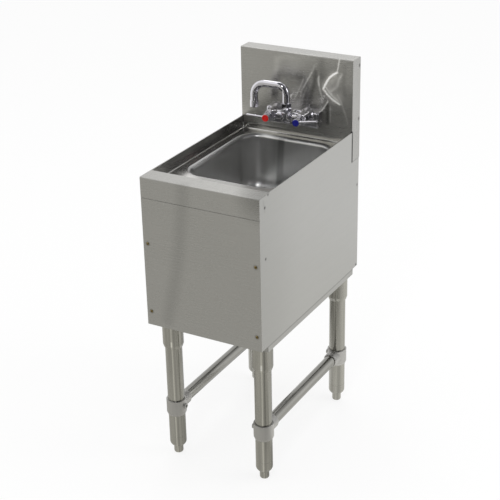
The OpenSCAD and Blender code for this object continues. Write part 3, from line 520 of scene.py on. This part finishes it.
def splash_tones(tree):
    """The soft painted glow about the streaks and in wider fields, painted shade in patches among them, two
    dots of spot welds, and painted shade on the end that faces right and in the slots.
    """
    glow = stroke(tree, on_splash([(104, 884), (88, 862), (96, 847), (110, 836)]), 0.026)
    halo = stroke(tree, on_splash([(100, 891), (76, 855), (104, 827)]), 0.014)
    light = math_node(tree, "ADD", spread(tree, glow, 0.0, 0.55, 0.0, 1.0),
                      spread(tree, halo, 0.0, 0.25, 0.0, 1.0))
    light = math_node(tree, "ADD", light, several(tree, GLOWS))
    light = math_node(tree, "SUBTRACT", light, several(tree, SHADES))
    light = math_node(tree, "ADD", front_only(tree, light), 1.0)
    dots = strongest(tree, [near_line(tree, p, p, 0.0075) for p in SPLASH_DOTS])
    light = math_node(tree, "SUBTRACT", light, spread(tree, dots, 0.0, 0.85, 0.0, 1.0))
    # Painted shade on the end of the splash that faces right, and in the slots.
    ends = math_node(tree, "MULTIPLY", bands(tree, (1, 0, 0), [(1.0, 0.4, -0.11)]), slot_shade(tree))
    return math_node(tree, "MULTIPLY", light, ends)


SCREW_HEAD_R = 0.0038
low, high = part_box("front_panel_screws")
SCREW_X, SCREW_Z = high[0] - SCREW_HEAD_R, (low[2] + SCREW_HEAD_R, high[2] - SCREW_HEAD_R)
# The middle line of the leaning band, a painted reflection, in millimetres across and up.
BAND = [(-40, 745), (-43, 704), (-47, 680), (-53, 617), (-65, 540), (-82, 459), (-96, 404)]


def front_marks(tree):
    """The painted reflection of a faint dark band that leans to the left down the front, painted shade round
    each screw, the rim darker towards its right end, and painted shade on faces that look up."""
    band = stroke(tree, [(x / 1000, FRONT_Y, z / 1000) for x, z in BAND], 0.030)
    # Darker towards the rim's right end.
    darker_rim_end = near_line(tree, (0.152, FRONT_Y + 0.004, RIM_Z), (0.146, FRONT_Y + 0.060, RIM_Z), 0.080)
    # Painted shade in a ring round each screw.
    screw_shade = strongest(tree, [near_line(tree, (x, FRONT_Y, z), (x, FRONT_Y, z), 0.0085)
                             for x in (-SCREW_X, SCREW_X) for z in SCREW_Z])
    band = math_node(tree, "MAXIMUM", band, math_node(tree, "MULTIPLY", screw_shade, 5.5))
    marked = math_node(tree, "SUBTRACT", spread(tree, band, 1.0, 0.35, 0.0, 5.0),
                       spread(tree, darker_rim_end, 0.0, 0.34, 0.0, 1.0))
    # Painted shade on faces that look up, such as the rim.
    return math_node(tree, "MULTIPLY", marked, bands(tree, (0, 0, 1), [(1.0, 0.5, -0.07)]))


CHANNEL_X, _, CHANNEL_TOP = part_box("right_leg_channel")[1]


def channel_shade(tree):
    """Painted shade: the dark line where a channel meets the cabinet's side above it."""
    z = CHANNEL_TOP - 0.002
    lines = [near_line(tree, (x, -0.3, z), (x, 0.3, z), 0.0065) for x in (-CHANNEL_X, CHANNEL_X)]
    return spread(tree, strongest(tree, lines), 1.0, 0.30, 0.0, 1.0)


print("face of the splash at y =", round(SPLASH_Y, 4))

# %% Finishes of the cabinet
SHEET_GRAIN = {"fine": 1600.0, "groove": 0.000004}
dress(ground_steel("front_steel", "x", STEEL, 0.29, 0.75, streaks=0.008, cloud=0.015, marks=front_marks,
                   **SHEET_GRAIN),
      "front_apron", "front_panel", "rear_brace")
dress(ground_steel("splash_steel", "x", STEEL, 0.29, 0.75, streaks=0.012, cloud=0.05, marks=splash_tones,
                   lit=thrown_light, **SHEET_GRAIN),
      "backsplash")
dress(ground_steel("side_steel", "y", (0.43, 0.428, 0.41), 0.33, 0.6, streaks=0.012, cloud=0.015,
                   marks=side_marks, **SHEET_GRAIN),
      "left_side_panel", "right_side_panel")
dress(ground_steel("channel_steel", "y", (0.41, 0.408, 0.39), 0.36, 0.5, streaks=0.02, marks=channel_shade),
      "left_leg_channel", "right_leg_channel")

# %% [markdown]
# ## The deck and the bowl
#
# The deck is the same sheet, but smoother, with painted light on its front left corner and back ledge and a
# bright line along the seam at its rear left. The drawn bowl is satin without a direction. Its back wall
# shows a soft upright shade between two lighter fields of painted light, and all that looks up, the rolled
# edge most, has painted shade. What makes the upright shade isn't known.

# %% Finishes of the deck and the bowl
BOWL_EDGE = 0.0112      # from the back of the bowl's rolled edge to just in front of its back wall
BOWL_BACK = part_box("sink_bowl")[1][1] - BOWL_EDGE
DECK_Z = 0.7215         # the deck's upper face


def bowl_shade(tree):
    """The upright shade on the back wall, between two fields of painted light, and painted shade on faces
    that look up, most on the rolled edge.
    """
    shade = strongest(tree, [near_line(tree, (x, BOWL_BACK, 0.722), (x - 0.007, BOWL_BACK, 0.600), 0.0095)
                             for x in (-0.030, -0.026, -0.022)])
    # Painted shade on faces that look up: the rolled edge most, and the floor.
    edge = bands(tree, (0, 0, 1), [(0.9, 0.5, -0.20)])
    # Painted light in two fields on the back wall.
    painted_light_fields = strongest(tree, [near_line(tree, (-0.068, BOWL_BACK, 0.70), (-0.064, BOWL_BACK, 0.60), 0.045),
                             near_line(tree, (0.0, BOWL_BACK, 0.66), (0.118, BOWL_BACK, 0.66), 0.10)])
    tone = math_node(tree, "SUBTRACT", spread(tree, painted_light_fields, 1.0, 1.75, 0.0, 1.0),
                     spread(tree, shade, 0.0, 0.55, 0.0, 1.0))
    return math_node(tree, "MULTIPLY", tone, edge)


def deck_light(tree):
    """The light on the deck's front left corner and back ledge, and the bright seam at its rear left."""
    patch = near_line(tree, (-0.112, -0.130, DECK_Z), (-0.060, -0.190, DECK_Z), 0.036)
    ledge = near_line(tree, (-0.13, SPLASH_Y - 0.012, DECK_Z), (0.15, SPLASH_Y - 0.012, DECK_Z), 0.034)
    seam = near_line(tree, (-0.150, SPLASH_Y, RIM_Z), (-0.150, SPLASH_Y, 0.722), 0.005)
    light = math_node(tree, "ADD", spread(tree, patch, 1.0, 1.9, 0.0, 1.0),
                      spread(tree, seam, 0.0, 1.5, 0.0, 1.0))
    return math_node(tree, "ADD", light, spread(tree, ledge, 0.0, 0.7, 0.0, 1.0))


dress(ground_steel("deck_steel", "x", (0.40, 0.395, 0.38), 0.22, 0.0, streaks=0.015, cloud=0.05,
                   marks=deck_light),
      "deck_pan")
dress(ground_steel("bowl_steel", "z", (0.55, 0.55, 0.545), 0.34, 0.0, streaks=0.012, swing=0.03, fine=500,
                   cloud=0.05, marks=bowl_shade),
      "sink_bowl", "drain_flange", "drain_strainer", "strainer_screw")

# %% [markdown]
# ## Tubes, sockets and castings
#
# The legs are tube that was polished lengthwise, so they have fine light and dark streaks along them, and
# the sockets and feet are of the same metal. In the photograph the front ones show a light band left of
# their middle, a darker one beside it and a dark right side. The rear ones show two darker bands. They
# mirror a room that isn't known, and the cards and lamps here don't draw bands as clear as these, so they
# are painted: each band lies where the surface faces a given share of the direction across the view. The
# tees are bare castings: matt, a little pitted, and darker on top.

# %% Finishes of the legs
CORNERS = ("front_left", "front_right", "rear_left", "rear_right")
ACROSS_LEGS = (math.cos(VIEW_TURN), math.sin(VIEW_TURN), 0)
ACROSS_RAILS = (-0.685, 0, 0.729)      # towards a rail's upper outline in the photograph
FRONT_BANDS = [(-0.13, 0.13, 0.62), (0.14, 0.13, -0.22), (0.55, 0.14, -0.17), (1.0, 0.5, -0.42)]
REAR_BANDS = [(-0.60, 0.55, -0.24), (0.15, 0.45, -0.22)]
RAIL_BANDS = [(0.33, 0.45, -0.50), (0.85, 0.40, -0.26), (-0.9, 0.5, -0.24)]


def leg_metal(name, places, colour, rough=0.25, glints=()):
    """The polished tube of the legs, with its bands and short upright glints."""
    def marks(tree):
        light = bands(tree, ACROSS_LEGS, places)
        for start, end in glints:
            light = math_node(tree, "ADD", light, near_line(tree, start, end, 0.0035))
        return light
    return ground_steel(name, "z", colour, rough, 0.6, draw_out=0.0, streaks=0.14, fine=420, cloud=0.03,
                        marks=marks)


def socket_glint(node):
    """Both ends of the glint low down on a front socket, where it faces the camera."""
    low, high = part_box(node)
    turn = VIEW_TURN - math.radians(90 + 7.5)
    place = ((low[0] + high[0]) / 2 + math.cos(turn) * (high[0] - low[0]) / 2,
             (low[1] + high[1]) / 2 + math.sin(turn) * (high[1] - low[1]) / 2)
    return (*place, low[2] + 0.009), (*place, low[2] + 0.020)


GLINTS = [socket_glint("leg_socket_front_left"), socket_glint("leg_socket_front_right")]
# The rear legs have a darker colour than the front ones: painted shade from the cabinet above them.
LEG_LOOKS = (("front", FRONT_BANDS, (0.44, 0.431, 0.39), GLINTS),
             ("rear", REAR_BANDS, (0.41, 0.402, 0.364), []))
for end, places, colour, glints in LEG_LOOKS:
    corners = [c for c in CORNERS if c.startswith(end)]
    dress(leg_metal(end + "_leg_steel", places, colour), *["leg_tube_" + c for c in corners])
    dress(leg_metal(end + "_foot_steel", places, colour, 0.27),
          *["foot_insert_" + c for c in corners], *["bullet_foot_" + c for c in corners])
    dress(leg_metal(end + "_socket_steel", places, colour, 0.28, glints),
          *["leg_socket_" + c for c in corners])
# The rails get painted reflection bands too, by the direction towards a rail's upper outline.
dress(ground_steel("rail_steel", "y", (0.345, 0.34, 0.316), 0.22, 0.0, streaks=0.12, fine=420,
                   marks=lambda tree: bands(tree, ACROSS_RAILS, RAIL_BANDS)),
      "left_side_rail", "right_side_rail")
dress(ground_steel("tee_casting", "z", (0.52, 0.513, 0.494), 0.48, 0.0, groove=0.00005, fine=900,
                   edge=0.0015, marks=lambda tree: bands(tree, (0, 0, 1), [(0.7, 0.65, -0.38)])),
      *["rail_tee_" + c for c in CORNERS], "set_screws", "socket_bolts")

# %% [markdown]
# ## Chrome, brass, rubber and plastic
#
# Chrome is the mirror of the object, so it is nearly smooth and light, and all its drawing comes from what
# it mirrors. The screws are dull brass. Rubber and plastic aren't metal: they keep their own colour.

# %% Finishes of the faucet, the drain and the small parts
chrome = ground_steel("chrome_plate", "z", (0.70, 0.69, 0.73), 0.05, 0.0, streaks=0.01, swing=0.02,
                      groove=0.00003, edge=0.0008, fine=60, cloud=0.01)
dress(chrome, "faucet_body", "hot_bonnet", "cold_bonnet", "hot_handle", "cold_handle", "spout_nut",
      "spout_tube", "spout_outlet", "drain_tailpiece", "tailpiece_nut")
brass = ground_steel("yellow_brass", "z", (0.50, 0.38, 0.16), 0.30, 0.0, edge=0.0003)
dress(brass, "faucet_shanks", "shank_locknuts", "hot_stem", "cold_stem",
      "drain_locknut", "hot_handle_screw", "cold_handle_screw")


def moulded(name, colour, rough, speck=0.05, edge=0.0004):
    """Plastic or rubber, slightly uneven in colour and gloss."""
    material = bpy.data.materials.new(name)
    tree = new_tree(material)
    body = add_node(tree, "ShaderNodeBsdfPrincipled")
    cloudy = stretched_noise(tree, "z", 400.0, 1.0, 4.0)
    tree.links.new(tinted(tree, colour, spread(tree, cloudy, 1 - speck, 1 + speck)),
                   body.inputs["Base Color"])
    tree.links.new(spread(tree, cloudy, rough - 0.06, rough + 0.06), body.inputs["Roughness"])
    soft_edge = add_node(tree, "ShaderNodeBevel", samples=6)
    soft_edge.inputs["Radius"].default_value = edge
    tree.links.new(soft_edge.outputs[0], body.inputs["Normal"])
    tree.links.new(body.outputs[0], add_node(tree, "ShaderNodeOutputMaterial").inputs["Surface"])
    return material


dress(moulded("black_rubber", (0.03, 0.03, 0.03), 0.6), "drain_gasket", "shank_washers", "spout_packing")
dress(moulded("red_button", (0.60, 0.012, 0.008), 0.25), "hot_index_button")
dress(moulded("blue_button", (0.010, 0.012, 0.20), 0.25), "cold_index_button")

# %% [markdown]
# ## The cast faucet body
#
# The CAD body is a block, barrels and a hub with sharp joints, because a chain of exact solids can't carry
# freely rounded ones. The real body is one casting, and every inner corner of it is a soft fillet. A copy
# of the CAD mesh is therefore filled with small voxels and smoothed. The bores stay open, because the
# voxels are smaller than the walls.

# %% Make the casting from a copy of the CAD body
def free_copy(name, node):
    """A new object with a merged copy of a node's mesh."""
    mesh = bmesh.new()
    mesh.from_mesh(nodes[node].data)
    bmesh.ops.remove_doubles(mesh, verts=mesh.verts, dist=1e-6)
    data = bpy.data.meshes.new(name)
    mesh.to_mesh(data)
    mesh.free()
    piece = bpy.data.objects.new(name, data)
    bpy.context.scene.collection.objects.link(piece)
    return piece


def fix_modifiers(piece):
    """Turns what the modifiers make into the piece's own mesh."""
    shape = bpy.data.meshes.new_from_object(piece.evaluated_get(bpy.context.evaluated_depsgraph_get()))
    piece.modifiers.clear()
    piece.data = shape


def cast_from(name, node, voxel, rounds):
    """A casting with soft corners, in place of a node."""
    piece = free_copy(name, node)
    filled = piece.modifiers.new("filled", "REMESH")
    filled.mode = "VOXEL"
    filled.voxel_size = voxel
    filled.use_smooth_shade = True
    rounded = piece.modifiers.new("rounded", "SMOOTH")
    rounded.factor = 0.5
    rounded.iterations = rounds
    fix_modifiers(piece)
    piece.data.materials.clear()
    piece.data.materials.append(nodes[node].data.materials[0])
    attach(piece, "sink")
    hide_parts(node)
    print(name, "has", len(piece.data.polygons), "faces")


cast_from("faucet_casting", "faucet_body", voxel=0.0009, rounds=14)

# %% [markdown]
# ## The panel screws
#
# The CAD screws have plain domed heads. The real ones have a cross recess, and their brass went dark. Two
# bars for each head are cut out of a copy of the CAD screws, which keeps the head and the shank as they
# are.

# %% Make the cross recesses
DARK_BRASS = ground_steel("dark_brass", "z", (0.27, 0.205, 0.09), 0.42, 0.0, edge=0.0003, cloud=0.2)


def cut_crosses(name, node, head_r, arm, width, depth):
    """Screws with a cross recess in each head, in place of a node whose heads face the front."""
    low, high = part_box(node)
    bars = bmesh.new()
    for x in (low[0] + head_r, high[0] - head_r):
        for z in (low[2] + head_r, high[2] - head_r):
            for size in ((arm, 2 * depth, width), (width, 2 * depth, arm)):
                bmesh.ops.create_cube(bars, size=1.0, matrix=Matrix.Translation((x, low[1], z)) @
                                      Matrix.Diagonal((*size, 1)))
    data = bpy.data.meshes.new("recess_bars")
    bars.to_mesh(data)
    bars.free()
    cutter = bpy.data.objects.new("recess_bars", data)
    bpy.context.scene.collection.objects.link(cutter)
    piece = free_copy(name, node)
    recess = piece.modifiers.new("recess", "BOOLEAN")
    recess.operation = "DIFFERENCE"
    recess.solver = "EXACT"
    recess.use_self = True
    recess.object = cutter
    fix_modifiers(piece)
    bpy.data.objects.remove(cutter)
    piece.data.materials.clear()
    piece.data.materials.append(DARK_BRASS)
    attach(piece, "sink")
    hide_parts(node)
    print(name, "has", len(piece.data.polygons), "faces")


dress(DARK_BRASS, "front_panel_screws")
cut_crosses("crosshead_screws", "front_panel_screws", SCREW_HEAD_R, arm=0.0046, width=0.0010, depth=0.0014)
